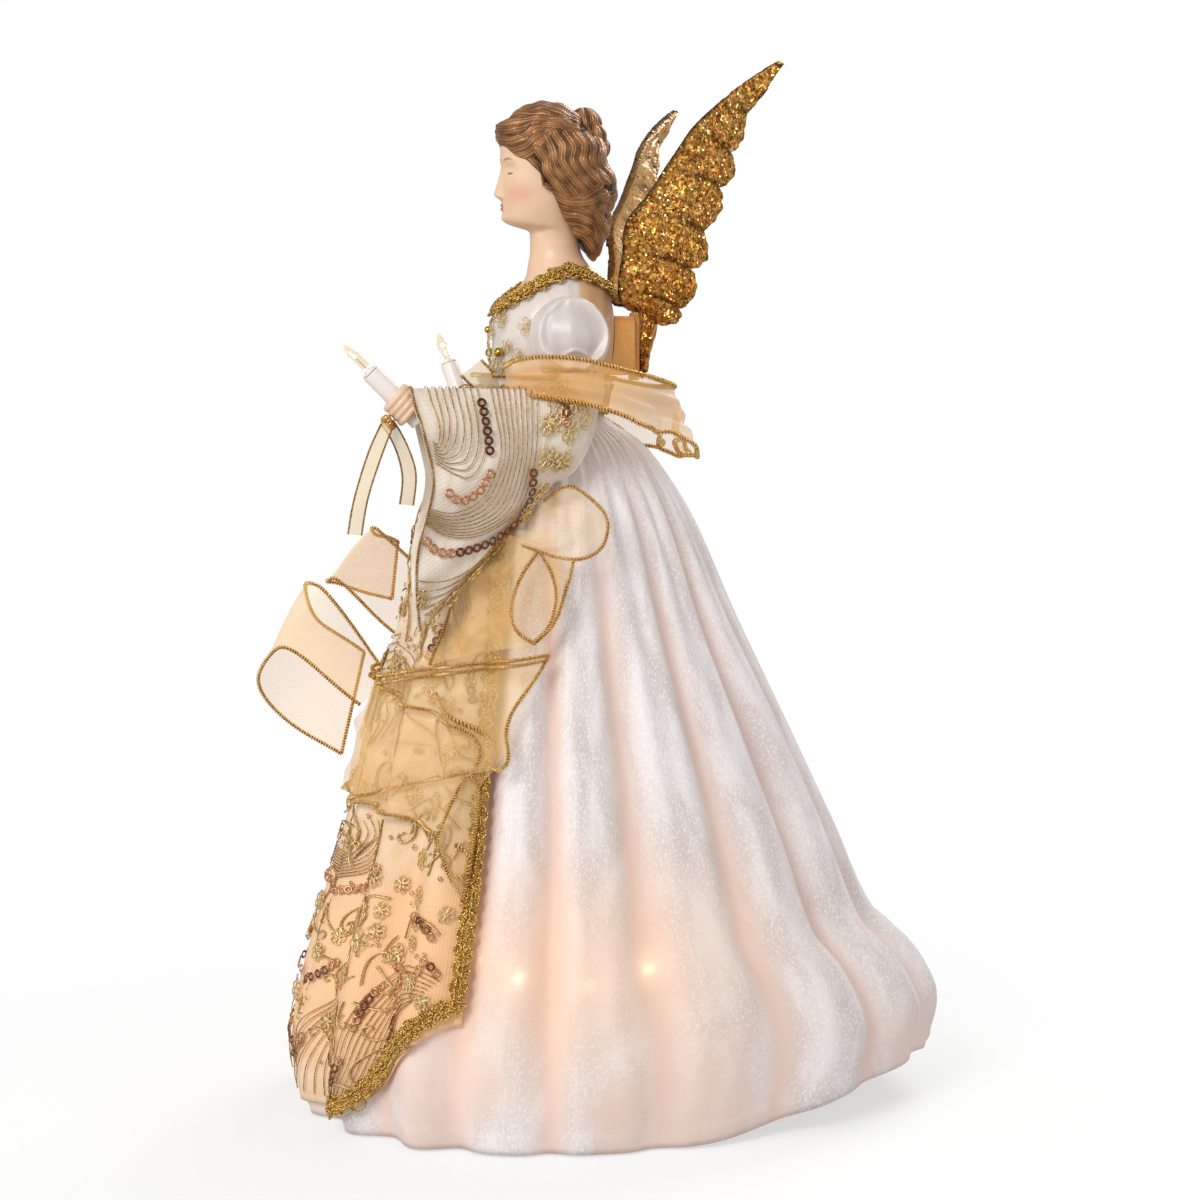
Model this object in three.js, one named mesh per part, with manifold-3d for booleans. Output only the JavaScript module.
// Lighted treetop angel. Millimetres, +Z up. The figure faces -Y and its left hand is on the +X side.
import * as THREE from 'three';
import { mergeVertices } from 'three/addons/utils/BufferGeometryUtils.js';
import Module from 'manifold-3d';

const wasm = await Module();
wasm.setup();

// Driving dimensions: clearances and cloth
const seatGap = 0.3;
const clothThickness = 1.2;
const organzaThickness = 0.9;
const cutOverrun = 5;
const boreGap = 0.5;
const softGap = 0.6;

// Driving dimensions: the waist's height, and the heights that keep their distance from it
const waistHeight = 281;
const waistAboveFoot = 19;
const bodyFoot = waistHeight - waistAboveFoot;
const bustSeatRise = 55;
const bustSeatHeight = bodyFoot + bustSeatRise;
const elbowHeight = waistHeight;
const coreFootRise = 30;
const wingRootRise = 7;
const wingRootHeight = waistHeight + wingRootRise;

// Driving dimensions: the hollow cone that stands on the treetop
const coneHeight = bodyFoot - coreFootRise;
const coneBaseRadius = 66;
const coneTopRadius = 15;
const coneWall = 1.8;
const flangeWidth = 6;
const flangeThickness = 2.4;

// Driving dimensions: torso, skirt and front panel
const bodyHeight = 88;
const chestHalfWidth = 27;
const chestHalfDepth = 24.4;
const hemFront = 102;
const hemSide = 93;
const hemBack = 158;
const hemClearance = 0.5;
const trainRise = 17;
const skirtFoldDepth = 4;
const skirtFoldCount = 18;
const panelGap = 0.9;
const panelEdgeAngle = 60;
const panelCornerRise = 42;
const panelHemHeight = 6.5;

// Driving dimensions: arms and candles
const elbowReach = 45;
const elbowBack = 3;
const forearmLength = 63;
const armWireRadius = 1.3;
const leadRadius = 0.8;
const candleRadius = 3.75;
const candleWall = 0.8;
const candleLength = 26;
const socketWall = 0.7;
const socketDepth = 9;
const lampGlassLength = 14;

// Driving dimensions: wings
const wingReach = 95;
const wingSweep = 42;
const wingRise = 118;
const wingThickness = 1.7;
const featherCount = 9;
const featherTip = 5;
const featherLength = 45;

// Small tools: angles, points and tables of shares
const radians = THREE.MathUtils.degToRad;
const point = (x, y, z) => new THREE.Vector3(x, y, z);
const fullTurn = 2 * Math.PI;

function smooth(share) {
  const t = THREE.MathUtils.clamp(share, 0, 1);
  return t * t * (3 - 2 * t);
}

// One row of a table at any place along its first column, on a smooth curve through its rows
function rowAt(shares, place) {
  const last = shares.length - 1;
  let k = 0;
  while (k < last - 1 && place > shares[k + 1][0]) {
    k += 1;
  }
  const low = shares[k];
  const high = shares[k + 1];
  const before = shares[Math.max(k - 1, 0)];
  const after = shares[Math.min(k + 2, last)];
  const span = high[0] - low[0];
  const t = THREE.MathUtils.clamp((place - low[0]) / span, 0, 1);
  return low.map((start, column) => {
    const slopeStart = (high[column] - before[column]) / (high[0] - before[0]);
    const slopeEnd = (after[column] - low[column]) / (after[0] - low[0]);
    const rise = high[column] - start;
    const bend = slopeStart * span * t * (1 - t) * (1 - t) - slopeEnd * span * t * t * (1 - t);
    return start + rise * smooth(t) + bend;
  });
}

// Closed solids from grids of points
function solidFromGrid(positions, faces) {
  const geometry = new THREE.BufferGeometry();
  const flat = positions.flatMap((p) => [p.x, p.y, p.z]);
  geometry.setAttribute('position', new THREE.Float32BufferAttribute(flat, 3));
  let volume = 0;
  for (const [a, b, c] of faces) {
    volume += positions[a].dot(positions[b].clone().cross(positions[c]));
  }
  const outward = volume > 0 ? faces : faces.map(([a, b, c]) => [a, c, b]);
  geometry.setIndex(outward.flat());
  return geometry;
}

function addQuad(faces, a, b, c, d) {
  faces.push([a, b, c], [a, c, d]);
}

// A sheet with thickness between two surfaces of (u, v); a wrapped one closes on itself along u
function shellBetween(front, back, columns, rows, wrapped = false) {
  const across = wrapped ? columns : columns + 1;
  const positions = [];
  for (const surface of [front, back]) {
    for (let j = 0; j <= rows; j += 1) {
      for (let i = 0; i < across; i += 1) {
        positions.push(surface(i / columns, j / rows));
      }
    }
  }
  const layer = across * (rows + 1);
  const at = (i, j, side) => side * layer + j * across + (i % across);
  const faces = [];
  for (let i = 0; i < columns; i += 1) {
    for (let j = 0; j < rows; j += 1) {
      addQuad(faces, at(i, j, 0), at(i + 1, j, 0), at(i + 1, j + 1, 0), at(i, j + 1, 0));
      addQuad(faces, at(i, j, 1), at(i, j + 1, 1), at(i + 1, j + 1, 1), at(i + 1, j, 1));
    }
    addQuad(faces, at(i, 0, 0), at(i, 0, 1), at(i + 1, 0, 1), at(i + 1, 0, 0));
    addQuad(faces, at(i, rows, 0), at(i + 1, rows, 0), at(i + 1, rows, 1), at(i, rows, 1));
  }
  for (let j = 0; j < rows && !wrapped; j += 1) {
    addQuad(faces, at(0, j, 0), at(0, j + 1, 0), at(0, j + 1, 1), at(0, j, 1));
    addQuad(faces, at(columns, j, 0), at(columns, j, 1), at(columns, j + 1, 1), at(columns, j + 1, 0));
  }
  return solidFromGrid(positions, faces);
}

// A sheet of even thickness on a surface of (u, v), with half of it on each side
function sheetOn(surface, thickness, columns, rows, wrapped = false) {
  const step = 0.002;
  const offset = (u, v, side) => {
    const alongU = surface(u + step, v).sub(surface(u - step, v));
    const alongV = surface(u, v + step).sub(surface(u, v - step));
    const normal = alongU.cross(alongV).normalize();
    return surface(u, v).addScaledVector(normal, side * thickness / 2);
  };
  return shellBetween((u, v) => offset(u, v, 1), (u, v) => offset(u, v, -1), columns, rows, wrapped);
}

// A solid through a row of rings, each with the same number of points, closed at both ends
function loftThrough(rings) {
  const count = rings[0].length;
  const positions = rings.flat();
  const faces = [];
  for (let k = 0; k < rings.length - 1; k += 1) {
    for (let i = 0; i < count; i += 1) {
      const next = (i + 1) % count;
      addQuad(faces, k * count + i, k * count + next, (k + 1) * count + next, (k + 1) * count + i);
    }
  }
  for (const [k, turn] of [[0, 1], [rings.length - 1, -1]]) {
    const centre = rings[k].reduce((sum, p) => sum.add(p), point(0, 0, 0)).divideScalar(count);
    const hub = positions.push(centre) - 1;
    for (let i = 0; i < count; i += 1) {
      const pair = [k * count + (i + 1) % count, k * count + i];
      faces.push(turn > 0 ? [hub, pair[0], pair[1]] : [hub, pair[1], pair[0]]);
    }
  }
  return solidFromGrid(positions, faces);
}

// A closed band along a loop or a path: place(t) gives its centre and its two half axes
function bandAlong(place, steps, sides, closed) {
  const rings = [];
  for (let k = 0; k < (closed ? steps : steps + 1); k += 1) {
    const { centre, across, out } = place(k / steps);
    rings.push(Array.from({ length: sides }, (_, i) => {
      const turn = (fullTurn * i) / sides;
      return centre.clone().addScaledVector(across, Math.cos(turn)).addScaledVector(out, Math.sin(turn));
    }));
  }
  if (!closed) {
    return loftThrough(rings);
  }
  const faces = [];
  for (let k = 0; k < steps; k += 1) {
    for (let i = 0; i < sides; i += 1) {
      const next = (i + 1) % sides;
      const after = (k + 1) % steps;
      addQuad(faces, k * sides + i, k * sides + next, after * sides + next, after * sides + i);
    }
  }
  return solidFromGrid(rings.flat(), faces);
}

// Turned pieces and tubes, with +Z as the axis of a turned piece
function turned(profile, segments) {
  const outline = profile.map(([radius, height]) => new THREE.Vector2(radius, height));
  return new THREE.LatheGeometry(outline, segments).rotateX(Math.PI / 2);
}

// A full arc is drawn with two points for each curve segment, so a tube's sides are an even number
function tubeAlong(points, radius, steps, sides) {
  const section = new THREE.Shape().absarc(0, 0, radius, 0, fullTurn);
  const path = new THREE.CatmullRomCurve3(points, false, 'centripetal');
  const options = { steps, extrudePath: path, curveSegments: sides / 2, bevelEnabled: false };
  return new THREE.ExtrudeGeometry(section, options);
}

// Cutting and joining
function toSolid(geometry) {
  const bare = geometry.clone();
  bare.deleteAttribute('normal');
  bare.deleteAttribute('uv');
  const welded = mergeVertices(bare, 1e-4);
  return new wasm.Manifold(new wasm.Mesh({
    numProp: 3,
    vertProperties: new Float32Array(welded.attributes.position.array),
    triVerts: new Uint32Array(welded.index.array),
  }));
}

function fromSolid(solid) {
  const mesh = solid.getMesh();
  const geometry = new THREE.BufferGeometry();
  geometry.setAttribute('position', new THREE.Float32BufferAttribute(mesh.vertProperties, 3));
  geometry.setIndex(Array.from(mesh.triVerts));
  return geometry;
}

function cutFrom(geometry, ...tools) {
  let solid = toSolid(geometry);
  for (const tool of tools) {
    solid = solid.subtract(toSolid(tool));
  }
  return fromSolid(solid);
}

function joined(...geometries) {
  const [first, ...others] = geometries.map(toSolid);
  return fromSolid(others.reduce((whole, next) => whole.add(next), first));
}

// The finished pieces gather in one group
const angel = new THREE.Group();

function finish(color, roughness, metalness = 0) {
  return { color, roughness, metalness };
}

function addPart(name, geometry, look) {
  const mesh = new THREE.Mesh(geometry, new THREE.MeshStandardMaterial(look));
  mesh.name = name;
  angel.add(mesh);
}

const resinSkin = finish(0xe8bf9c, 0.55);
const creamSatin = finish(0xf3ece2, 0.4);
const creamVelvet = finish(0xf2e6dc, 0.8);
const embroideredCloth = finish(0xe6cfa8, 0.7);
const goldBraid = finish(0xb08a3a, 0.45, 0.5);
const goldOrganza = finish(0xdcb878, 0.6);
const goldPlastic = finish(0xb88a34, 0.4, 0.6);
const whitePlastic = finish(0xf2f0ea, 0.35);
const clearGlass = finish(0xfff4d8, 0.08);
const hiddenCard = finish(0xe9e4da, 0.9);
const steelWire = finish(0x8e8e8c, 0.4, 0.8);
const leadCover = finish(0xeeeae0, 0.5);

// Body form, shared by torso, bust, bodice and sash.
// Rows: height up the body, half width, half depth and backward shift of the section's centre
const bodyShares = [
  [0, 0.74, 0.78, -0.041], [0.16, 0.72, 0.8, -0.041], [0.25, 0.74, 0.84, -0.041],
  [0.364, 0.87, 0.967, -0.033], [0.477, 0.963, 1, -0.025], [0.568, 1, 0.992, -0.012],
  [0.659, 0.926, 0.902, 0.033], [0.727, 0.796, 0.8, 0.082], [0.795, 0.593, 0.615, 0.102],
  [0.864, 0.415, 0.459, 0.041], [0.932, 0.37, 0.41, 0.008], [1, 0.356, 0.402, 0],
];

// Angles around the figure start at the front and pass its left hand at a quarter turn
function bodyPoint(angle, height, offset) {
  const [, width, depth, shift] = rowAt(bodyShares, (height - bodyFoot) / bodyHeight);
  const x = Math.sin(angle) * (width * chestHalfWidth + offset);
  const y = shift * chestHalfDepth - Math.cos(angle) * (depth * chestHalfDepth + offset);
  return point(x, y, height);
}

function bodySolid(offset, low, high, rows, columns) {
  const rings = Array.from({ length: rows + 1 }, (_, k) => {
    const height = low + ((high - low) * k) / rows;
    return Array.from({ length: columns }, (_, i) => bodyPoint((fullTurn * i) / columns, height, offset));
  });
  return loftThrough(rings);
}

// Skirt form, shared by skirt, panel, braid and shawl.
// Rows: drop below the waist, front depth, side half width and back depth
const skirtShares = [
  [0, 0.208, 0.214, 0.12], [0.021, 0.213, 0.219, 0.127], [0.053, 0.318, 0.31, 0.215],
  [0.103, 0.428, 0.406, 0.285], [0.16, 0.501, 0.48, 0.342], [0.306, 0.57, 0.61, 0.453],
  [0.448, 0.682, 0.75, 0.576], [0.609, 0.782, 0.868, 0.715], [0.733, 0.888, 0.944, 0.816],
  [0.779, 0.927, 0.966, 0.905], [0.822, 0.957, 0.977, 0.962], [0.868, 0.981, 0.987, 0.994],
  [0.94, 0.993, 0.995, 0.962], [1, 0.96, 0.978, 0.937],
];
const skirtRowShares = [0, 0.021, 0.06, 0.16, 0.306, 0.5, 0.7, 0.85, 1];
const lastSkirtRow = skirtRowShares.length - 1;
const columnsPerFold = 3;
const skirtColumns = skirtFoldCount * columnsPerFold;

const foldStartShare = 0.021;
const foldGrowthShare = 0.5;
const foldLeastShare = 0.75;

function foldOffset(angle, drop) {
  const spread = foldLeastShare + (1 - foldLeastShare) * drop;
  const growth = smooth((drop - foldStartShare) / foldGrowthShare) * spread;
  return -skirtFoldDepth * growth * Math.cos(skirtFoldCount * angle);
}

function skirtPoint(angle, height, offset) {
  const drop = (waistHeight - height) / waistHeight;
  const [, front, side, back] = rowAt(skirtShares, drop);
  const proud = offset + foldOffset(angle, drop);
  const depth = Math.cos(angle) > 0 ? front * hemFront : back * hemBack;
  return point(Math.sin(angle) * (side * hemSide + proud), -Math.cos(angle) * (depth + proud), height);
}

const trainStartShare = 0.2;

function hemHeight(angle) {
  const towardsBack = -Math.cos(angle);
  return hemClearance + trainRise * smooth((towardsBack - trainStartShare) / (1 - trainStartShare));
}

// A point on the skirt's own flat facets, for the pieces that lie on it
const columnAngle = fullTurn / skirtColumns;

function onSkirtColumn(angle, height, offset) {
  let row = 1;
  while (row < lastSkirtRow && height < skirtRowHeight(row, angle)) {
    row += 1;
  }
  const heights = [row - 1, row].map((k) => skirtRowHeight(k, angle));
  const [upper, lower] = heights.map((rowHeight) => skirtPoint(angle, rowHeight, offset));
  return upper.lerp(lower, (heights[0] - height) / (heights[0] - heights[1]));
}

function skirtFacetPoint(angle, height, offset) {
  const place = angle / columnAngle;
  const left = Math.floor(place);
  const [start, end] = [left, left + 1].map((k) => onSkirtColumn(k * columnAngle, height, offset));
  return start.lerp(end, place - left);
}

function skirtRowHeight(row, angle) {
  return waistHeight - skirtRowShares[row] * (waistHeight - hemHeight(angle));
}

function skirtGridPoint(u, v, offset) {
  const angle = fullTurn * u;
  return skirtPoint(angle, skirtRowHeight(Math.round(v * lastSkirtRow), angle), offset);
}

// Hollow cone with its flange, lamp holes and the lamps' own sizes
const lampHeight = 63;
const lampAngleShares = [-42, -19, 4, 31].map((angle) => angle / 360);
const holderRadius = 3.4;
const holderFlangeRadius = 4.4;
const holderFlangeThickness = 1.1;
const holderInside = 5;
const holderOutside = 6;
const holderBoreRadius = 2.2;
const holderFloor = 1.5;
const lampBaseRadius = 1.9;
const lampGlassRadius = 2.4;
const lampNeckLength = 1.2;
const lampSides = 6;

function coneRadiusAt(height) {
  return coneBaseRadius - ((coneBaseRadius - coneTopRadius) * height) / coneHeight;
}

const lampAngles = lampAngleShares.flatMap((share) => [share * fullTurn, Math.PI - share * fullTurn]);
const coneLean = Math.atan2(coneBaseRadius - coneTopRadius, coneHeight);

// Moves a piece made along +Z so that it points out of the cone at one lamp hole
function setInCone(geometry, angle) {
  geometry.rotateY(Math.PI / 2 - coneLean);
  geometry.translate(coneRadiusAt(lampHeight), 0, lampHeight);
  return geometry.rotateZ(angle);
}

const coneProfile = [
  [coneBaseRadius - coneWall, 0],
  [coneBaseRadius + flangeWidth, 0],
  [coneBaseRadius + flangeWidth, flangeThickness],
  [coneRadiusAt(flangeThickness), flangeThickness],
  [coneTopRadius, coneHeight],
  [coneTopRadius - coneWall, coneHeight],
  [coneBaseRadius - coneWall, 0],
];
const coneSegments = 26;
const lampCutter = () => {
  const depth = holderInside + holderOutside;
  return new THREE.CylinderGeometry(holderRadius + seatGap, holderRadius + seatGap, depth, lampSides)
    .rotateX(Math.PI / 2);
};
const lampCutters = lampAngles.map((angle) => setInCone(lampCutter(), angle));
addPart('tree_cone', cutFrom(turned(coneProfile, coneSegments), ...lampCutters), hiddenCard);

// Lamp holders push through the cone from outside, up to a flange; lamps push into their bores
const holderProfile = [
  [0, -holderInside],
  [holderRadius, -holderInside],
  [holderRadius, seatGap],
  [holderFlangeRadius, seatGap],
  [holderFlangeRadius, seatGap + holderFlangeThickness],
  [holderRadius, holderOutside],
  [holderBoreRadius, holderOutside],
  [holderBoreRadius, holderFloor - holderInside],
  [0, holderFloor - holderInside],
];

const lampShoulderShare = 0.6;
const lampTaperShare = 0.85;
const lampTipShare = 0.55;

function lampProfile(baseLength, baseRadius, glassLength, neckLength) {
  return [
    [0, seatGap],
    [baseRadius, seatGap],
    [baseRadius, baseLength],
    [lampGlassRadius, baseLength + neckLength],
    [lampGlassRadius, baseLength + glassLength * lampShoulderShare],
    [lampGlassRadius * lampTipShare, baseLength + glassLength * lampTaperShare],
    [0, baseLength + glassLength],
  ];
}

const holderBoreDepth = holderInside + holderOutside - holderFloor;
lampAngles.forEach((angle, k) => {
  const profile = lampProfile(holderBoreDepth, lampBaseRadius, lampGlassLength, lampNeckLength);
  const lamp = turned(profile, lampSides);
  lamp.translate(0, 0, holderFloor - holderInside);
  addPart(`skirt_lamp_holder_${k + 1}`, setInCone(turned(holderProfile, lampSides), angle), whitePlastic);
  addPart(`skirt_lamp_${k + 1}`, setInCone(lamp, angle), clearGlass);
});

// The string of leads that runs behind the holders, inside the cone
const stringRadius = 0.9;
const stringLoopRadius = coneRadiusAt(lampHeight) - holderInside * Math.cos(coneLean) - stringRadius
  - seatGap - holderRadius * Math.sin(coneLean);
const stringSteps = 24;
const stringSides = 6;
const stringTurnShare = 0.96;
const stringPoints = Array.from({ length: stringSteps + 1 }, (_, k) => {
  const angle = (fullTurn * stringTurnShare * k) / stringSteps + Math.PI / 2;
  return point(stringLoopRadius * Math.cos(angle), stringLoopRadius * Math.sin(angle), lampHeight);
});
addPart('lamp_string', tubeAlong(stringPoints, stringRadius, stringSteps, stringSides), leadCover);

// Arm frame: the origin is the elbow, the forearm runs along -Y before it is turned outwards
const arms = [
  { side: 1, label: 'left', yaw: radians(0), tilt: radians(45), length: forearmLength },
  { side: -1, label: 'right', yaw: radians(-48), tilt: radians(25), length: forearmLength - 23 },
];

function inWorld(arm, thing) {
  const place = new THREE.Matrix4().makeRotationZ(arm.yaw)
    .setPosition(arm.side * elbowReach, elbowBack, elbowHeight);
  return thing.applyMatrix4(place);
}

// Candle axis: it stands on the palm's front and leans forward
const wristDrop = 1.5;
const palmLength = 12.4;
const candleInset = 5.4;
const candleBelowHand = 9;
const candleFoot = (arm) => point(0, -arm.length - candleInset, 0);
const candleAxis = (arm) => point(0, -Math.sin(arm.tilt), Math.cos(arm.tilt));

function onCandle(arm, geometry) {
  geometry.rotateX(arm.tilt);
  geometry.translate(...candleFoot(arm).toArray());
  return inWorld(arm, geometry);
}

function candlePlace(arm, along) {
  return candleFoot(arm).addScaledVector(candleAxis(arm), along);
}

// Routes of the arm wire and of the lead, from the hand to the torso, as points chosen by hand
const shoulderRise = 45;
const shoulderHeight = bodyFoot + shoulderRise;

function armWireRoute(arm) {
  const local = [
    point(0, -arm.length + 5, -wristDrop),
    point(0, -arm.length / 2, -wristDrop),
    point(0, -9, -wristDrop),
    point(0, -1.5, 2),
    point(0, 0, 12),
  ];
  const upper = [
    point(arm.side * 40, 2, shoulderHeight - 6),
    point(arm.side * 30, 1, shoulderHeight),
    point(arm.side * 17, 0, shoulderHeight),
  ];
  return [...local.map((p) => inWorld(arm, p)), ...upper];
}

const coneLeadInset = 4.2;

function leadRoute(arm) {
  const { side } = arm;
  const onWall = (height, back) => point(side * (coneRadiusAt(height) - coneLeadInset), back, height);
  const local = [
    candlePlace(arm, candleLength - candleBelowHand - socketDepth - socketWall - seatGap),
    candlePlace(arm, 0),
    candlePlace(arm, -candleBelowHand),
    candlePlace(arm, -candleBelowHand - 3),
    point(0, -arm.length + 11, -8.5),
    point(0, -arm.length / 2, -7),
    point(0, -4, -5),
    point(0, 4, 3),
    point(0, 4.4, 12),
  ];
  const inner = [
    point(side * 40, 7, shoulderHeight - 8),
    point(side * 30, 6, shoulderHeight - 5),
    point(side * 16, 4.5, shoulderHeight - 4),
    point(side * 6, 3, shoulderHeight - 13),
    point(side * 5, 2, bodyFoot + 8),
    point(side * 5, 2, coneHeight + 8),
    onWall(coneHeight - 18, 0),
    onWall(coneHeight - 82, -3),
    onWall(lampHeight + 27, -7),
    point(side * stringLoopRadius * Math.cos(0.16), -stringLoopRadius * Math.sin(0.16),
      lampHeight + stringRadius + seatGap),
  ];
  return [...local.map((p) => inWorld(arm, p)), ...inner];
}

const wireSteps = 16;
const wireSides = 6;
const leadSteps = 30;
const leadSides = 6;
const armWire = (arm, extra) => tubeAlong(armWireRoute(arm), armWireRadius + extra, wireSteps, wireSides);
const candleLead = (arm, extra) => tubeAlong(leadRoute(arm), leadRadius + extra, leadSteps, leadSides);
const armBores = arms.flatMap((arm) => [armWire(arm, boreGap), candleLead(arm, boreGap)]);
const boreOf = (arm) => armBores.slice(arms.indexOf(arm) * 2, arms.indexOf(arm) * 2 + 2);

// Torso core, on the cone's top rim, with bores for both arms
const coreInset = clothThickness + 3 * seatGap;
const coreFootRadius = 17;
const coreColumns = 24;
const coreFootRows = [coneHeight + seatGap, (coneHeight + bodyFoot) / 2].map((height) => (
  Array.from({ length: coreColumns }, (_, i) => {
    const angle = (fullTurn * i) / coreColumns;
    return point(Math.sin(angle) * coreFootRadius, -Math.cos(angle) * coreFootRadius, height);
  })
));
const coreBodyRises = [0, 14, 26, 37, 46, bustSeatRise - seatGap];
const coreBodyHeights = coreBodyRises.map((rise) => bodyFoot + rise);
const coreBodyRows = coreBodyHeights.map((height) => (
  Array.from({ length: coreColumns }, (_, i) => bodyPoint((fullTurn * i) / coreColumns, height, -coreInset))
));
const torsoSolid = loftThrough([...coreFootRows, ...coreBodyRows]);
addPart('torso_core', cutFrom(torsoSolid, ...armBores), hiddenCard);

// Satin bodice, open at the waist and at the sloping neckline
const necklineFront = bodyFoot + 57.5;
const necklineSide = bodyFoot + 71;
const necklineBack = bodyFoot + 63;
const bodiceFoot = waistHeight + seatGap;
const bodiceColumns = 24;
const bodiceRows = 5;

function necklineHeight(angle) {
  const frontBack = (necklineFront + necklineBack) / 2;
  const tip = ((necklineFront - necklineBack) / 2) * Math.cos(angle);
  const sides = (necklineSide - frontBack) * Math.sin(angle) ** 2;
  return frontBack + tip + sides;
}

function bodicePoint(u, v, offset) {
  const angle = fullTurn * u;
  return bodyPoint(angle, bodiceFoot + v * (necklineHeight(angle) - bodiceFoot), offset);
}

const bodiceShell = shellBetween(
  (u, v) => bodicePoint(u, v, 0),
  (u, v) => bodicePoint(u, v, -clothThickness),
  bodiceColumns, bodiceRows, true,
);
addPart('bodice', cutFrom(bodiceShell, ...armBores), creamSatin);

// Gold braid on the neckline, and beads on the bodice
const trimHalfWidth = 2.7;
const trimHalfThickness = 1.1;

function bodyFrame(angle, height, offset) {
  const step = 0.01;
  const around = bodyPoint(angle + step, height, offset).sub(bodyPoint(angle - step, height, offset));
  const up = bodyPoint(angle, height + step, offset).sub(bodyPoint(angle, height - step, offset));
  return { centre: bodyPoint(angle, height, offset), out: around.cross(up).normalize() };
}

function trimPlace(t) {
  const angle = fullTurn * t;
  const step = 0.01;
  const { centre, out } = bodyFrame(angle, necklineHeight(angle), 0);
  const ahead = bodyPoint(angle + step, necklineHeight(angle + step), 0);
  const along = ahead.sub(centre).normalize();
  const across = out.clone().cross(along).normalize();
  centre.addScaledVector(out, trimHalfThickness + seatGap);
  return { centre, across: across.multiplyScalar(trimHalfWidth), out: out.multiplyScalar(trimHalfThickness) };
}

const trimSteps = 26;
const braidSides = 5;
addPart('neck_trim', bandAlong(trimPlace, trimSteps, braidSides, true), goldBraid);

const beadColumns = 7;
const beadRows = 5;
const beads = [
  { name: 'bodice_bead_top', angle: radians(0), height: bodyFoot + 48, radius: 1.5 },
  { name: 'bodice_bead_left', angle: radians(28), height: bodyFoot + 39, radius: 2 },
  { name: 'bodice_bead_right', angle: radians(-28), height: bodyFoot + 39, radius: 2 },
];
for (const { name, angle, height, radius } of beads) {
  const { centre, out } = bodyFrame(angle, height, 0);
  centre.addScaledVector(out, radius + seatGap);
  const bead = new THREE.SphereGeometry(radius, beadColumns, beadRows).translate(...centre.toArray());
  addPart(name, bead, goldPlastic);
}

// Skirt, front panel and the braid on the panel's edges
addPart('skirt', shellBetween(
  (u, v) => skirtGridPoint(u, v, 0),
  (u, v) => skirtGridPoint(u, v, -clothThickness),
  skirtColumns, lastSkirtRow, true,
), creamVelvet);

const panelColumns = (2 * panelEdgeAngle * skirtColumns) / 360;
const panelTopRow = 1;
const panelRows = lastSkirtRow - panelTopRow;
const panelRowStep = 2;

const cornerStartShare = 0.45;

function panelHem(angle) {
  const edge = Math.abs(angle) / radians(panelEdgeAngle);
  return panelHemHeight + panelCornerRise * smooth((edge - cornerStartShare) / (1 - cornerStartShare));
}

function panelPoint(u, v, offset) {
  const angle = radians(panelEdgeAngle) * (2 * u - 1);
  const row = panelTopRow + Math.round(v * panelRows);
  const least = panelHem(angle) + (lastSkirtRow - row) * panelRowStep;
  const height = row < lastSkirtRow ? Math.max(skirtRowHeight(row, angle), least) : panelHem(angle);
  return skirtFacetPoint(angle, height, offset);
}

addPart('front_panel', shellBetween(
  (u, v) => panelPoint(u, v, panelGap + clothThickness),
  (u, v) => panelPoint(u, v, panelGap),
  panelColumns, panelRows,
), embroideredCloth);

const braidHalfWidth = 2.4;
const braidHalfThickness = 1.2;
const braidInset = 1.5;
const braidTopDrop = 12;
const braidRise = 8;
const braidEase = 1.5;
const braidSteps = 20;
const braidTurnShare = 0.72;
const braidEndShare = 0.38;
const braidSettleShare = 0.4;
const braidStandoff = panelGap + clothThickness + seatGap + braidHalfThickness + braidEase;

// The braid goes straight down the panel's edge, then turns along its rounded corner
function braidCentre(t, side) {
  const edge = radians(panelEdgeAngle) - braidInset / hemSide;
  const down = Math.min(t / braidTurnShare, 1);
  const round = Math.max((t - braidTurnShare) / (1 - braidTurnShare), 0);
  const angle = edge * (1 - (1 - braidEndShare) * round);
  const top = waistHeight - braidTopDrop;
  const corner = panelHem(edge) + braidRise;
  const height = round > 0
    ? panelHem(angle) + braidRise * (1 - (1 - braidSettleShare) * round)
    : top - down * (top - corner);
  return skirtFacetPoint(side * angle, height, braidStandoff);
}

const skirtSlopeShare = 0.2;

function braidPlace(t, side) {
  const step = 0.004;
  const centre = braidCentre(t, side);
  const along = braidCentre(Math.min(t + step, 1), side).sub(braidCentre(Math.max(t - step, 0), side));
  const out = point(centre.x / hemSide, centre.y / hemFront, skirtSlopeShare).normalize();
  const across = along.clone().cross(out).normalize();
  return {
    centre,
    across: across.multiplyScalar(braidHalfWidth),
    out: along.cross(across).normalize().multiplyScalar(braidHalfThickness),
  };
}

for (const { side, label } of arms) {
  const place = (t) => braidPlace(t, side);
  addPart(`panel_braid_${label}`, bandAlong(place, braidSteps, braidSides, false), goldBraid);
}

// Waist sash, wrapped over the seam of bodice and skirt
const sashLow = waistHeight - 4;
const sashHigh = waistHeight + 10;
const sashThickness = 1.3;
const sashFlare = 2.2;
const sashGap = 1.5;
const sashColumns = 24;
const sashRows = 2;
const sashPoint = (u, v, offset) => bodyPoint(fullTurn * u, sashLow + v * (sashHigh - sashLow),
  sashGap + offset + sashFlare * v * Math.max(Math.cos(fullTurn * u), 0));
addPart('waist_sash', shellBetween(
  (u, v) => sashPoint(u, v, sashThickness),
  (u, v) => sashPoint(u, v, 0),
  sashColumns, sashRows, true,
), embroideredCloth);

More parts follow.
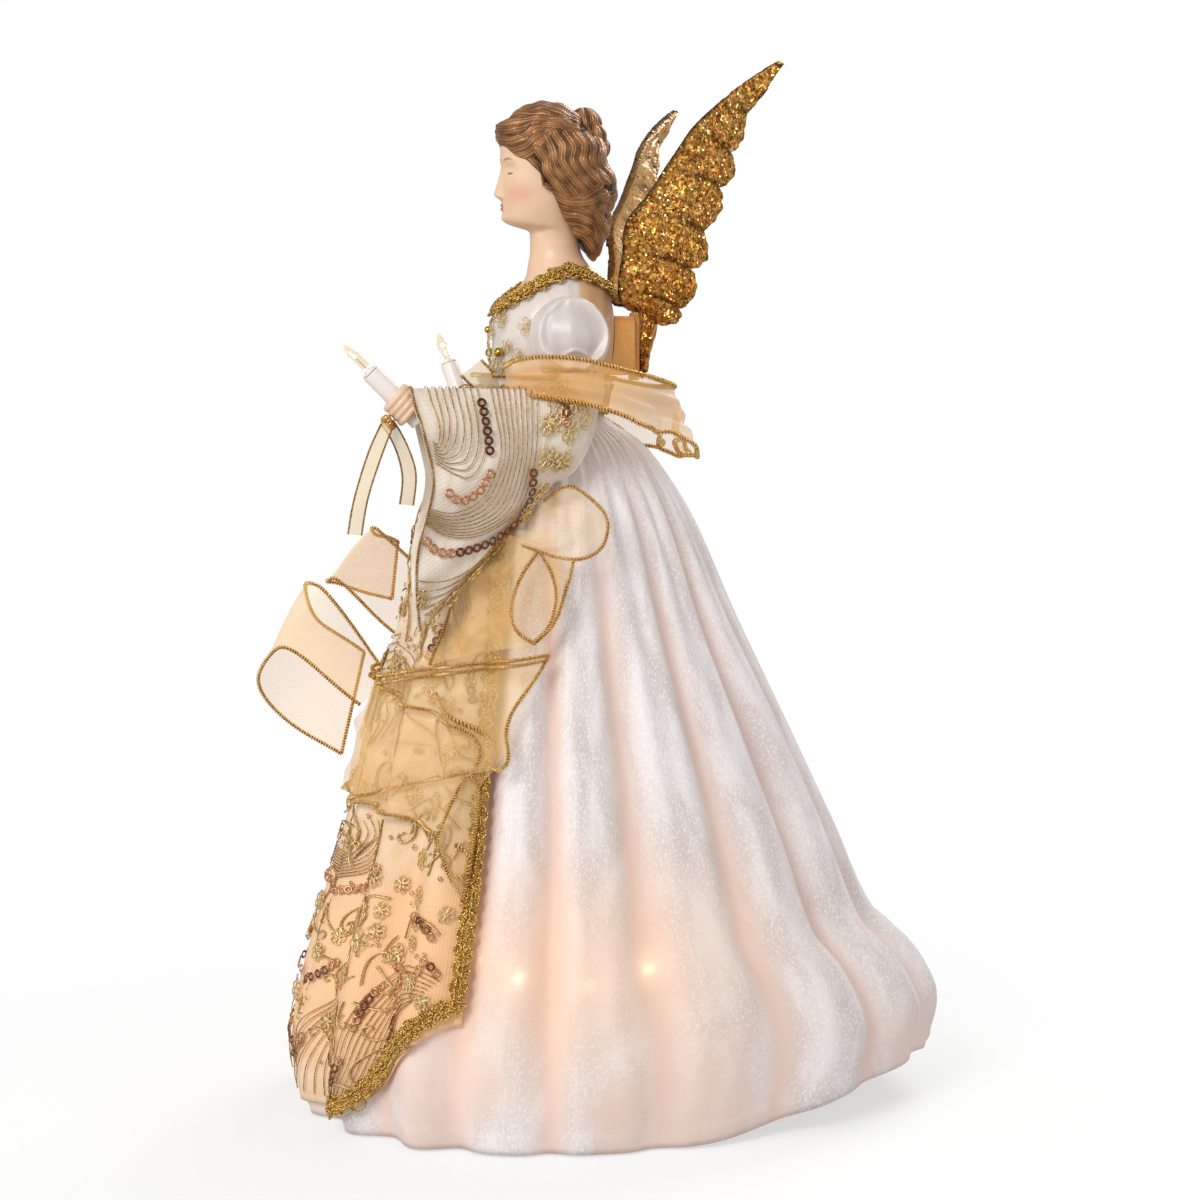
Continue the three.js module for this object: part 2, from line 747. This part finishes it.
// Puff sleeves: gathered caps that seat on the bodice
const puffRise = 25.5;
const puffCentre = point(35, 0.5, elbowHeight + puffRise);
const puffRadii = point(17.5, 15.5, 16);
const sleeveTopRise = 12;
const puffGathers = 8;
const puffRowShares = [0, 0.16, 0.34, 0.52, 0.7, 0.86, 0.97];
const gatherDepthShare = 0.03;

function puffSleeve(side) {
  const footHeight = elbowHeight + sleeveTopRise + seatGap;
  const low = Math.asin((footHeight - puffCentre.z) / puffRadii.z);
  const columns = puffGathers * 2;
  const rings = puffRowShares.map((share) => {
    const tilt = low + (Math.PI / 2 - low) * share;
    return Array.from({ length: columns }, (_, i) => {
      const turn = (fullTurn * i) / columns;
      const gather = 1 - gatherDepthShare * (i % 2) * Math.sin(Math.PI * share);
      return point(
        side * (puffCentre.x + puffRadii.x * Math.cos(tilt) * Math.cos(turn) * gather),
        puffCentre.y + puffRadii.y * Math.cos(tilt) * Math.sin(turn) * gather,
        puffCentre.z + puffRadii.z * Math.sin(tilt),
      );
    });
  });
  return loftThrough(rings);
}

const clearanceRows = 6;
const bodyClearance = bodySolid(softGap, bodiceFoot, necklineSide + cutOverrun, clearanceRows, bodiceColumns);
for (const arm of arms) {
  const puff = cutFrom(puffSleeve(arm.side), bodyClearance, ...boreOf(arm));
  addPart(`sleeve_puff_${arm.label}`, puff, creamSatin);
}

// Bell sleeves: a narrow top, a bent elbow and a deep cuff that hangs to a point.
// Its section turns about the elbow's inner corner and grows deeper all the way to the cuff
const elbowCornerFront = 10;
const elbowCornerUp = 8;
const sleeveInset = 2;
const sleeveTopHalf = 8.5;
const sleeveElbowDepth = 36;
const sleeveCuffDepth = 91;
const sleeveHalfWidth = 9;
const cuffHalfWidth = 12.5;
const cuffLean = 10;
const cuffRipple = 1.4;
const elbowEndShare = 0.36;
const upperEndShare = 0.1;
const turnStartShare = 0.28;
const pointTaperShare = 0.62;
const topBluntShare = 0.62;
const sleeveColumns = 14;
const sleeveRows = 11;

function bellSection(arm, v) {
  const bend = Math.min(v / elbowEndShare, 1);
  const run = Math.max((v - elbowEndShare) / (1 - elbowEndShare), 0);
  const lift = Math.max(1 - v / upperEndShare, 0) * (sleeveTopRise - elbowCornerUp);
  const turn = (Math.PI / 2) * Math.max((bend - turnStartShare) / (1 - turnStartShare), 0);
  const reach = -arm.length + elbowCornerFront;
  const topDepth = 2 * sleeveTopHalf;
  const depth = run > 0
    ? sleeveElbowDepth + (sleeveCuffDepth - sleeveElbowDepth) * run
    : topDepth + (sleeveElbowDepth - topDepth) * smooth((turn / (Math.PI / 2)) ** 2);
  return {
    corner: point(0, -elbowCornerFront + reach * run, elbowCornerUp + lift),
    away: point(0, Math.cos(turn), -Math.sin(turn)),
    depth,
    halfWidth: sleeveHalfWidth + (cuffHalfWidth - sleeveHalfWidth) * run,
    lean: cuffLean * run,
    ripple: cuffRipple * run * run,
  };
}

function bellPoint(arm, u, v, offset) {
  const { corner, away, depth, halfWidth, lean, ripple } = bellSection(arm, v);
  const turn = fullTurn * u;
  const down = (1 - Math.cos(turn)) / 2;
  const taper = 1 - pointTaperShare * down * down * smooth((depth - 2 * sleeveTopHalf) / sleeveElbowDepth);
  const wave = ripple * Math.sin(9 * turn);
  const blunt = Math.sign(Math.sin(turn)) * Math.abs(Math.sin(turn)) ** (down < 0.5 ? topBluntShare : 1);
  const across = blunt * (halfWidth * taper + offset + wave) + lean * down * down;
  const reach = sleeveInset + depth / 2 - Math.cos(turn) * (depth / 2 + offset);
  return inWorld(arm, corner.addScaledVector(away, reach).add(point(arm.side * across, 0, 0)));
}

for (const arm of arms) {
  addPart(`bell_sleeve_${arm.label}`, shellBetween(
    (u, v) => bellPoint(arm, u, v, 0),
    (u, v) => bellPoint(arm, u, v, -clothThickness),
    sleeveColumns, sleeveRows, true,
  ), embroideredCloth);
}

// Arm wires and candle leads
for (const arm of arms) {
  addPart(`arm_wire_${arm.label}`, armWire(arm, 0), steelWire);
  addPart(`candle_lead_${arm.label}`, candleLead(arm, 0), leadCover);
}

// Resin hands: a palm, fingers round the candle and a thumb along it
const fingerRadius = 1.35;
const fingerSpread = 10;
const palmShares = [
  [0, 0.6], [0.35, 0.66], [0.6, 0.9], [0.8, 1], [1, 0.95],
];
const palmStart = 7;
const palmHalfWidth = 5;
const palmColumns = 7;
const wrapStart = radians(55);
const wrapTurn = radians(250);
const wrapColumns = 5;
const wrapRows = 8;
const knuckleLeastShare = 0.55;
const knuckleGrowthShare = 0.4;
const thumbRadius = 1.55;
const thumbSteps = 3;
const thumbSides = 6;
// Rows: side and front places in shares of the grip's radius, then height along the candle
const thumbShares = [[0.7, 0.9, -0.2], [1, 0.1, 0.2], [0.9, -0.4, 0.6]];

// Fingers: one ribbed wrap round the candle, open towards the palm, from first finger to little finger
function fingerPoint(arm, u, v, radius) {
  const turn = wrapStart + wrapTurn * u;
  return point(arm.side * Math.sin(turn) * radius, Math.cos(turn) * radius, fingerSpread * (0.5 - v));
}

const fingerCount = 4;
const knuckleShare = (v) => (
  knuckleLeastShare + knuckleGrowthShare * Math.abs(Math.sin(fingerCount * Math.PI * v))
);

function handSolid(arm) {
  const palm = loftThrough(palmShares.map(([along, size]) => (
    Array.from({ length: palmColumns }, (_, i) => {
      const turn = (fullTurn * i) / palmColumns;
      const y = palmStart - arm.length - palmLength * along;
      const radius = palmHalfWidth * size;
      return point(radius * Math.cos(turn), y, radius * Math.sin(turn) - wristDrop);
    })
  )));
  const grip = candleRadius + seatGap + fingerRadius;
  const fingers = shellBetween(
    (u, v) => fingerPoint(arm, u, v, grip + fingerRadius * knuckleShare(v)),
    (u, v) => fingerPoint(arm, u, v, grip - fingerRadius),
    wrapColumns, wrapRows,
  ).rotateX(arm.tilt).translate(...candleFoot(arm).toArray());
  const thumbRoute = thumbShares.map(([across, front, up]) => (
    point(-arm.side * grip * across, grip * front, fingerSpread * up)
  ));
  const thumb = tubeAlong(thumbRoute, thumbRadius, thumbSteps, thumbSides)
    .rotateX(arm.tilt).translate(...candleFoot(arm).toArray());
  return inWorld(arm, joined(palm, fingers, thumb));
}

const candleSegments = 10;
const candleBoreRadius = candleRadius - candleWall;
const candleTopAlong = candleLength - candleBelowHand;

// Candle tubes, lamp sockets in their tops, and the push-in lamps
const tubeProfile = [
  [candleBoreRadius, -candleBelowHand],
  [candleRadius, -candleBelowHand],
  [candleRadius, candleTopAlong],
  [candleBoreRadius, candleTopAlong],
  [candleBoreRadius, -candleBelowHand],
];
const socketRadius = candleBoreRadius - seatGap;
const socketBoreRadius = socketRadius - socketWall;
const socketLip = 0.8;
const socketTopAlong = candleTopAlong + seatGap + socketLip;
const socketProfile = [
  [0, candleTopAlong - socketDepth - socketWall],
  [socketRadius, candleTopAlong - socketDepth - socketWall],
  [socketRadius, candleTopAlong + seatGap],
  [candleRadius - candleWall / 2, candleTopAlong + seatGap],
  [candleRadius - candleWall / 2, socketTopAlong],
  [socketBoreRadius, socketTopAlong],
  [socketBoreRadius, candleTopAlong - socketDepth],
  [0, candleTopAlong - socketDepth],
];

for (const arm of arms) {
  const candleCutter = new THREE.CylinderGeometry(candleRadius + seatGap, candleRadius + seatGap,
    candleLength + cutOverrun, candleSegments).rotateX(Math.PI / 2);
  const hand = cutFrom(handSolid(arm), onCandle(arm, candleCutter), ...boreOf(arm));
  addPart(`hand_${arm.label}`, hand, resinSkin);
  addPart(`candle_tube_${arm.label}`, onCandle(arm, turned(tubeProfile, candleSegments)), whitePlastic);
  addPart(`candle_socket_${arm.label}`, onCandle(arm, turned(socketProfile, candleSegments)), whitePlastic);
  const lampBase = socketDepth + seatGap + socketLip;
  const lamp = turned(
    lampProfile(lampBase, socketBoreRadius - seatGap, lampGlassLength, lampNeckLength), candleSegments,
  );
  lamp.translate(0, 0, candleTopAlong - socketDepth);
  addPart(`candle_lamp_${arm.label}`, onCandle(arm, lamp), clearGlass);
}

// Ribbon tails that hang from each hand
const ribbonWidth = 5;
const ribbonRows = 8;
const ribbonTwistShare = 0.35;
const ribbonTails = [
  { drop: 42, forward: 13, curl: 2, aside: 1.5 },
  { drop: 31, forward: -7, curl: -4, aside: -1.5 },
];
const ribbonKnot = { width: 6, depth: 4, height: 3.4, drop: 1 };
const ribbonSeat = candleRadius + seatGap + fingerRadius * 2 + seatGap;

for (const arm of arms) {
  const knotCentre = point(0, -ribbonSeat - ribbonKnot.depth / 2, -ribbonKnot.drop);
  const spread = arm.length / forearmLength;
  const start = knotCentre.clone().applyAxisAngle(point(1, 0, 0), arm.tilt).add(candleFoot(arm));
  const tails = ribbonTails.map(({ drop, forward, curl, aside }) => sheetOn((u, v) => point(
    arm.side * aside + (u - 0.5) * ribbonWidth * ribbonTwistShare,
    start.y - forward * spread * v - curl * Math.sin(Math.PI * v) + (u - 0.5) * ribbonWidth,
    start.z - drop * v,
  ), organzaThickness, 1, ribbonRows));
  const knot = new THREE.BoxGeometry(ribbonKnot.width, ribbonKnot.depth, ribbonKnot.height)
    .translate(...knotCentre.toArray()).rotateX(arm.tilt).translate(...candleFoot(arm).toArray());
  addPart(`hand_ribbon_${arm.label}`, inWorld(arm, joined(knot, ...tails)), goldOrganza);
}

// Shawl behind the back: one long ruffled strip from the left arm to the right.
// Rows: place along the half strip, side reach, back reach, upper edge, lower edge and ruffle
const shawlReach = 62;
const shawlBack = 54;
const shawlTop = waistHeight + 17;
const shawlDepth = 34;
const shawlRuffle = 3.5;
const shawlFlare = 5;
const shawlWaves = 22;
const shawlColumns = 32;
const shawlRows = 3;
const shawlRightShare = 0.72;
const shawlShares = [
  [0, 0, 0.83, 0.34, 0.96, 1],
  [0.25, 0.36, 0.82, 0.34, 0.96, 1],
  [0.5, 0.7, 0.68, 0.28, 0.86, 0.8],
  [0.72, 0.9, 0.34, 0.14, 0.62, 0.3],
  [0.87, 0.875, -0.06, 0.03, 0.44, 0.05],
  [1, 0.87, -0.36, 0, 0.36, 0],
];

function shawlPoint(u, v) {
  const place = u - (1 - u) * shawlRightShare;
  const side = Math.sign(place);
  const [, reach, back, upper, lower, ruffle] = rowAt(shawlShares, Math.abs(place));
  const wave = shawlRuffle * ruffle * v * Math.cos(shawlWaves * place);
  const flare = shawlFlare * v * ruffle + wave;
  return point(
    side * (reach * shawlReach + flare * reach),
    back * shawlBack + flare * Math.max(back, 0),
    shawlTop - shawlDepth * (upper + (lower - upper) * v),
  );
}

addPart('shawl_back', sheetOn(shawlPoint, organzaThickness, shawlColumns, shawlRows), goldOrganza);

// Shawl falls over the panel: cloth that lies in cross folds on the braid.
// Rows: drop down the fall, its front edge and its rear edge as shares of a half turn
const fallTopRear = waistHeight - 31;
const fallTopFront = waistHeight - 73;
const fallFoot = waistHeight - 167;
const fallRuffle = 5;
const fallFolds = 2.5;
const fallSlant = 14;
const fallColumns = 8;
const fallRows = 11;
const fallShares = [
  [0, 0.3, 0.5], [0.15, 0.24, 0.53], [0.35, 0.14, 0.4], [0.55, 0.05, 0.33], [0.8, 0.04, 0.29],
  [1, 0.05, 0.25],
];
const fallStandoff = braidStandoff + braidHalfThickness + seatGap + organzaThickness;

function fallPoint(side, u, v) {
  const [, front, rear] = rowAt(fallShares, v);
  const angle = Math.PI * (front + (rear - front) * u);
  const slant = fallSlant * (u - 0.5) * Math.sin(fullTurn * v);
  const ruffle = fallRuffle * (0.5 - 0.5 * Math.cos(fullTurn * fallFolds * v)) * (0.35 + 0.65 * u);
  const top = fallTopFront + (fallTopRear - fallTopFront) * smooth(u);
  return skirtFacetPoint(side * angle, top - (top - fallFoot) * v + slant, fallStandoff + ruffle);
}

for (const { side, label } of arms) {
  const surface = (u, v) => fallPoint(side, u, v);
  addPart(`shawl_fall_${label}`, sheetOn(surface, organzaThickness, fallColumns, fallRows), goldOrganza);
}

// Loops of the right fall that stand out in front: each is a hairpin of ribbon.
// Rows: out from the fall, side, forward and height places of its upper and its lower edge
const loopReach = 118;
const loopSide = 50;
const loopHeight = waistHeight - 41;
const upperLoopShares = [
  [0, -0.5, -0.53, 0.97, -0.5, -0.55, 0.87],
  [0.5, -0.56, -0.6, 0.955, -0.62, -0.76, 0.87],
  [1, -0.84, -0.5, 0.93, -0.9, -0.52, 0.83],
];
const lowerLoopShares = [
  [0, -0.3, -0.66, 0.8, -0.3, -0.72, 0.69],
  [0.35, -0.4, -0.78, 0.86, -0.42, -0.92, 0.76],
  [0.5, -0.56, -0.83, 0.86, -0.62, -1, 0.71],
  [0.7, -0.78, -0.78, 0.8, -0.86, -0.93, 0.64],
  [1, -0.86, -0.62, 0.74, -0.96, -0.7, 0.56],
];

function loopPlace(shares, u, v) {
  const row = rowAt(shares, u);
  const upper = point(row[1] * loopSide, row[2] * loopReach, row[3] * loopHeight);
  const lower = point(row[4] * loopSide, row[5] * loopReach, row[6] * loopHeight);
  return upper.lerp(lower, v);
}

// The root of each loop is drawn onto the right fall, and the rest of it stands free
const rootShare = 0.4;
const loopRows = 3;
const rootStandoff = 2 * organzaThickness + seatGap;

function loopPoint({ shares, rootAcross, rootTop, rootFoot }, u, v) {
  const seat = fallPoint(-1, rootAcross, rootTop + (rootFoot - rootTop) * v);
  const out = point(seat.x / hemSide, seat.y / hemFront, 0).normalize();
  const shift = seat.addScaledVector(out, rootStandoff).sub(loopPlace(shares, 0, v));
  return loopPlace(shares, u, v).addScaledVector(shift, 1 - smooth(u / rootShare));
}

const loops = [
  { label: 'upper', shares: upperLoopShares, rootAcross: 0.12, rootTop: 0.06, rootFoot: 0.24, columns: 10 },
  { label: 'lower', shares: lowerLoopShares, rootAcross: 0.14, rootTop: 0.36, rootFoot: 0.56, columns: 14 },
];
for (const loop of loops) {
  const surface = (u, v) => loopPoint(loop, u, v);
  const sheet = sheetOn(surface, organzaThickness, loop.columns, loopRows);
  addPart(`shawl_loop_${loop.label}`, sheet, goldOrganza);
}

// Wing bracket on the back, with a slot from above, and the spine whose tongue slides in it
const bracketHalfWidth = 9;
const bracketLow = waistHeight + 11;
const bracketHigh = waistHeight + 34.5;
const bracketBack = 31;
const bracketCorner = 4;
const tongueHalfWidth = 4;
const tongueThickness = 2;
const tongueBack = 28.8;
const tongueNeckHalf = 1.6;
const slotFloor = 3;
const spineHalfWidth = 6.5;
const spineThickness = 2;
const spineLow = waistHeight + 9;
const spineHigh = waistHeight + 36;
const plateCornerSteps = 4;

function uprightPlate(halfWidth, low, high, front, back, corner) {
  const outline = new THREE.Shape()
    .moveTo(-halfWidth, low)
    .lineTo(halfWidth, low)
    .lineTo(halfWidth, high - corner)
    .absarc(halfWidth - corner, high - corner, corner, 0, Math.PI / 2)
    .absarc(corner - halfWidth, high - corner, corner, Math.PI / 2, Math.PI);
  const options = { depth: back - front, curveSegments: plateCornerSteps, bevelEnabled: false };
  return new THREE.ExtrudeGeometry(outline, options).rotateX(Math.PI / 2).translate(0, back, 0);
}

function uprightBox(halfWidth, low, high, front, back) {
  return new THREE.BoxGeometry(2 * halfWidth, back - front, high - low)
    .translate(0, (front + back) / 2, (low + high) / 2);
}

const bracketCutRows = 8;
const bracketTorsoCut = bodySolid(
  boreGap, bracketLow - cutOverrun, bracketHigh + cutOverrun, bracketCutRows, bodiceColumns,
);
const slotHead = uprightBox(tongueHalfWidth + seatGap, bracketLow + slotFloor, bracketHigh + cutOverrun,
  tongueBack - tongueThickness - seatGap, tongueBack + seatGap);
const slotNeck = uprightBox(tongueNeckHalf + seatGap, bracketLow + slotFloor, bracketHigh + cutOverrun,
  tongueBack, bracketBack + cutOverrun);
const bracketBlock = uprightPlate(bracketHalfWidth, bracketLow, bracketHigh, 0, bracketBack, bracketCorner);
addPart('wing_bracket', cutFrom(bracketBlock, bracketTorsoCut, slotHead, slotNeck), goldPlastic);

const tongueLow = bracketLow + slotFloor + seatGap;
const spineFront = bracketBack + seatGap;
const tongueFront = tongueBack - tongueThickness;
const spineBack = spineFront + spineThickness;
addPart('wing_spine', joined(
  uprightBox(tongueHalfWidth, tongueLow, bracketHigh, tongueFront, tongueBack),
  uprightBox(tongueNeckHalf, tongueLow, bracketHigh, tongueFront, spineBack),
  uprightPlate(spineHalfWidth, spineLow, spineHigh, spineFront, spineBack, bracketCorner),
), goldPlastic);

// Wings: a cupped plate between a leading and a trailing edge, with feather rows and scalloped tips.
// Rows: place along the span, then side, back and height of the leading and of the trailing edge
const wingShares = [
  [0, 0.02, 0, 0.03, 0.06, 0, 0.02],
  [0.12, 0.05, 0, 0.17, 0.12, 0.03, 0.1],
  [0.2, 0.065, 0, 0.275, 0.147, 0.056, 0.195],
  [0.25, 0.09, -0.19, 0.285, 0.211, 0.142, 0.205],
  [0.33, 0.105, -0.24, 0.33, 0.316, 0.265, 0.246],
  [0.42, 0.137, -0.215, 0.425, 0.442, 0.299, 0.352],
  [0.51, 0.211, -0.2, 0.541, 0.558, 0.326, 0.432],
  [0.6, 0.326, -0.035, 0.635, 0.653, 0.389, 0.556],
  [0.7, 0.463, 0.145, 0.754, 0.737, 0.474, 0.66],
  [0.8, 0.6, 0.283, 0.841, 0.811, 0.508, 0.753],
  [0.9, 0.795, 0.515, 0.921, 0.91, 0.59, 0.862],
  [1, 1, 0.82, 1.002, 1, 0.8, 0.984],
];
const wingCup = 5;
const wingColumns = featherCount * 4;
const wingRows = 4;
const rootHalfShare = 0.6;
const wingRootBack = spineBack + seatGap + rootHalfShare * wingThickness;
const wingCoreShare = 0.75;
const quillShare = 0.5;
const edgeShare = 0.35;

function wingPoint(side, u, v) {
  const row = rowAt(wingShares, u);
  const lead = point(row[1] * wingReach, wingRootBack + row[2] * wingSweep, row[3] * wingRise);
  const trail = point(row[4] * wingReach, wingRootBack + row[5] * wingSweep, row[6] * wingRise);
  const feather = Math.abs(Math.sin(Math.PI * featherCount * u)) - 0.5;
  const reach = v + (featherTip / featherLength) * feather * v * v;
  const place = lead.lerp(trail, reach);
  place.y += wingCup * Math.sin(Math.PI * v) * Math.sin(Math.PI * Math.min(u * 1.1, 1));
  return point(side * place.x, place.y, wingRootHeight + place.z);
}

// Quills stand proud on both faces, so that the feathers part along the span
function wingThicknessAt(u, v) {
  const quill = 0.5 + 0.5 * Math.cos(fullTurn * featherCount * u);
  return wingThickness * (wingCoreShare + quillShare * quill * v + edgeShare * (1 - v));
}

function wingFace(side, u, v, face) {
  const step = 0.004;
  const alongU = wingPoint(side, Math.min(u + step, 1), v).sub(wingPoint(side, Math.max(u - step, 0), v));
  const alongV = wingPoint(side, u, Math.min(v + step, 1)).sub(wingPoint(side, u, Math.max(v - step, 0)));
  const normal = alongU.cross(alongV).normalize();
  return wingPoint(side, u, v).addScaledVector(normal, (face * wingThicknessAt(u, v)) / 2);
}

for (const { side, label } of arms) {
  addPart(`wing_${label}`, shellBetween(
    (u, v) => wingFace(side, u, v, 1),
    (u, v) => wingFace(side, u, v, -1),
    wingColumns, wingRows,
  ), goldPlastic);
}

// Bust: neck and shoulders follow the body form, the head is a loft with its own face, and the
// moulded hair covers it behind the hairline.
// Rows: height up the head, half width, front and back reach
const headFoot = bodyFoot + 84;
const headHeight = 52;
const headHalfWidth = 16.3;
const headHalfDepth = 22;
const headShares = [
  [0, 0.59, -0.44, 0.45], [0.06, 0.63, -0.48, 0.46], [0.1, 0.7, -0.78, 0.55], [0.14, 0.75, -0.9, 0.64],
  [0.21, 0.83, -0.94, 0.77], [0.3, 0.92, -0.95, 0.9], [0.4, 0.97, -0.95, 0.98], [0.5, 1, -0.95, 1],
  [0.62, 1, -0.97, 1], [0.74, 0.97, -0.97, 0.97], [0.85, 0.83, -0.86, 0.82], [0.94, 0.55, -0.6, 0.55],
  [1, 0.15, -0.25, 0.15],
];
const headColumns = 24;
const bustInset = clothThickness + 4 * seatGap;
const noseHeight = 0.33;
const noseProud = 3.3;
const chinHeight = 0.13;
const chinProud = 0.9;
const lipHeight = 0.235;
const lipProud = 0.8;
const browHeight = 0.6;
const browProud = 0.6;
const eyeHeight = 0.5;
const eyeDepth = 1.1;

function bump(value, centre, spread) {
  return Math.exp(-(((value - centre) / spread) ** 2));
}

function faceRelief(angle, share) {
  const middle = bump(angle, 0, 0.16);
  const eyes = bump(Math.abs(angle), 0.42, 0.17) * bump(share, eyeHeight, 0.05);
  const noseRidge = bump(share, noseHeight, 0.045) + 0.35 * bump(share, noseHeight + 0.12, 0.1);
  return noseProud * middle * noseRidge
    + chinProud * bump(angle, 0, 0.35) * bump(share, chinHeight, 0.04)
    + lipProud * bump(angle, 0, 0.24) * bump(share, lipHeight, 0.03)
    + browProud * bump(angle, 0, 0.6) * bump(share, browHeight, 0.05)
    - eyeDepth * eyes;
}

function headPoint(angle, share) {
  const [, width, front, back] = rowAt(headShares, share);
  const centre = ((front + back) / 2) * headHalfDepth;
  const depth = ((back - front) / 2) * headHalfDepth;
  const relief = faceRelief(angle, share);
  const x = Math.sin(angle) * (width * headHalfWidth + relief);
  return point(x, centre - Math.cos(angle) * (depth + relief), headFoot + share * headHeight);
}

const shoulderRowShares = [0, 0.17, 0.34, 0.52, 0.72, 0.9];
const headRowShares = [
  0.02, 0.07, 0.105, 0.14, 0.19, 0.235, 0.28, 0.33, 0.38, 0.44, 0.5, 0.56, 0.62, 0.74, 0.85, 0.94, 1,
];

function bustSolid() {
  const ring = (place) => Array.from({ length: headColumns }, (_, i) => {
    const turn = (fullTurn * i) / headColumns;
    return place(turn > Math.PI ? turn - fullTurn : turn);
  });
  const shoulders = shoulderRowShares.map((share) => {
    const height = bustSeatHeight + share * (headFoot - bustSeatHeight);
    return ring((angle) => bodyPoint(angle, height, -bustInset));
  });
  const head = headRowShares.map((share) => ring((angle) => headPoint(angle, share)));
  return loftThrough([...shoulders, ...head]);
}

// Hair: a waved cap, cut back to the hairline, with a roll, a bun and curls down the nape
const hairCentre = point(0, 2.8, headFoot + 27);
const hairRadii = point(18.6, 21.8, 26.6);
const hairWave = 0.5;
const hairRows = 11;
const hairColumns = 20;
const lockColumns = 7;
const lockRows = 6;
const hairlineShares = [
  [-1.6, 0.32], [-1.15, 0.32], [-0.72, 0.03], [-0.5, -0.2], [-0.54, -0.34], [-0.32, -0.44],
  [-0.09, -0.8], [0.5, -1.36], [0.5, -2], [-1.6, -2],
];

function hairCap() {
  const rings = Array.from({ length: hairRows }, (_, k) => {
    const tilt = Math.PI * ((k + 0.5) / hairRows - 0.5);
    return Array.from({ length: hairColumns }, (_, i) => {
      const turn = (fullTurn * i) / hairColumns;
      const grow = 1 + (hairWave / hairRadii.x) * Math.sin(1.2 * k + 3 * turn) * Math.cos(tilt);
      return point(
        hairCentre.x + hairRadii.x * grow * Math.cos(tilt) * Math.sin(turn),
        hairCentre.y - hairRadii.y * grow * Math.cos(tilt) * Math.cos(turn),
        hairCentre.z + hairRadii.z * Math.sin(tilt),
      );
    });
  });
  return loftThrough(rings);
}

// Locks: bun, front rolls and nape curls, as places and sizes in shares of the hair's own radii
const lockShares = [
  [0, 0.6, 0.6, 0.5, 0.32, 0.25],
  [0.42, -0.78, 0.36, 0.36, 0.26, 0.24],
  [-0.42, -0.78, 0.36, 0.36, 0.26, 0.24],
  [0, -0.86, 0.5, 0.5, 0.25, 0.22],
  [0.4, 0.62, -0.5, 0.42, 0.32, 0.36],
  [-0.4, 0.62, -0.5, 0.42, 0.32, 0.36],
  [0, 0.66, -0.86, 0.5, 0.26, 0.42],
];

function lock([x, y, z, width, depth, height]) {
  const shape = new THREE.SphereGeometry(1, lockColumns, lockRows);
  shape.scale(width * hairRadii.x, depth * hairRadii.y, height * hairRadii.z);
  return shape.translate(x * hairRadii.x, hairCentre.y + y * hairRadii.y, hairCentre.z + z * hairRadii.z);
}

function faceOpening() {
  const outline = new THREE.Shape(hairlineShares.map(([y, z]) => (
    new THREE.Vector2(hairCentre.y + y * hairRadii.y, hairCentre.z + z * hairRadii.z)
  )));
  const width = 2 * hairRadii.x + 2 * cutOverrun;
  const block = new THREE.ExtrudeGeometry(outline, { depth: width, bevelEnabled: false });
  return block.translate(0, 0, -width / 2).applyMatrix4(new THREE.Matrix4().set(
    0, 0, 1, 0,
    1, 0, 0, 0,
    0, 1, 0, 0,
    0, 0, 0, 1,
  ));
}

const hair = cutFrom(joined(hairCap(), ...lockShares.map(lock)), faceOpening());
addPart('bust', joined(bustSolid(), hair), resinSkin);

// The origin is the middle of the base, under the whole figure
const extent = new THREE.Box3().setFromObject(angel);
const middle = extent.getCenter(point(0, 0, 0));
angel.position.set(-middle.x, -middle.y, -extent.min.z);
angel.updateMatrixWorld(true);

export default angel;
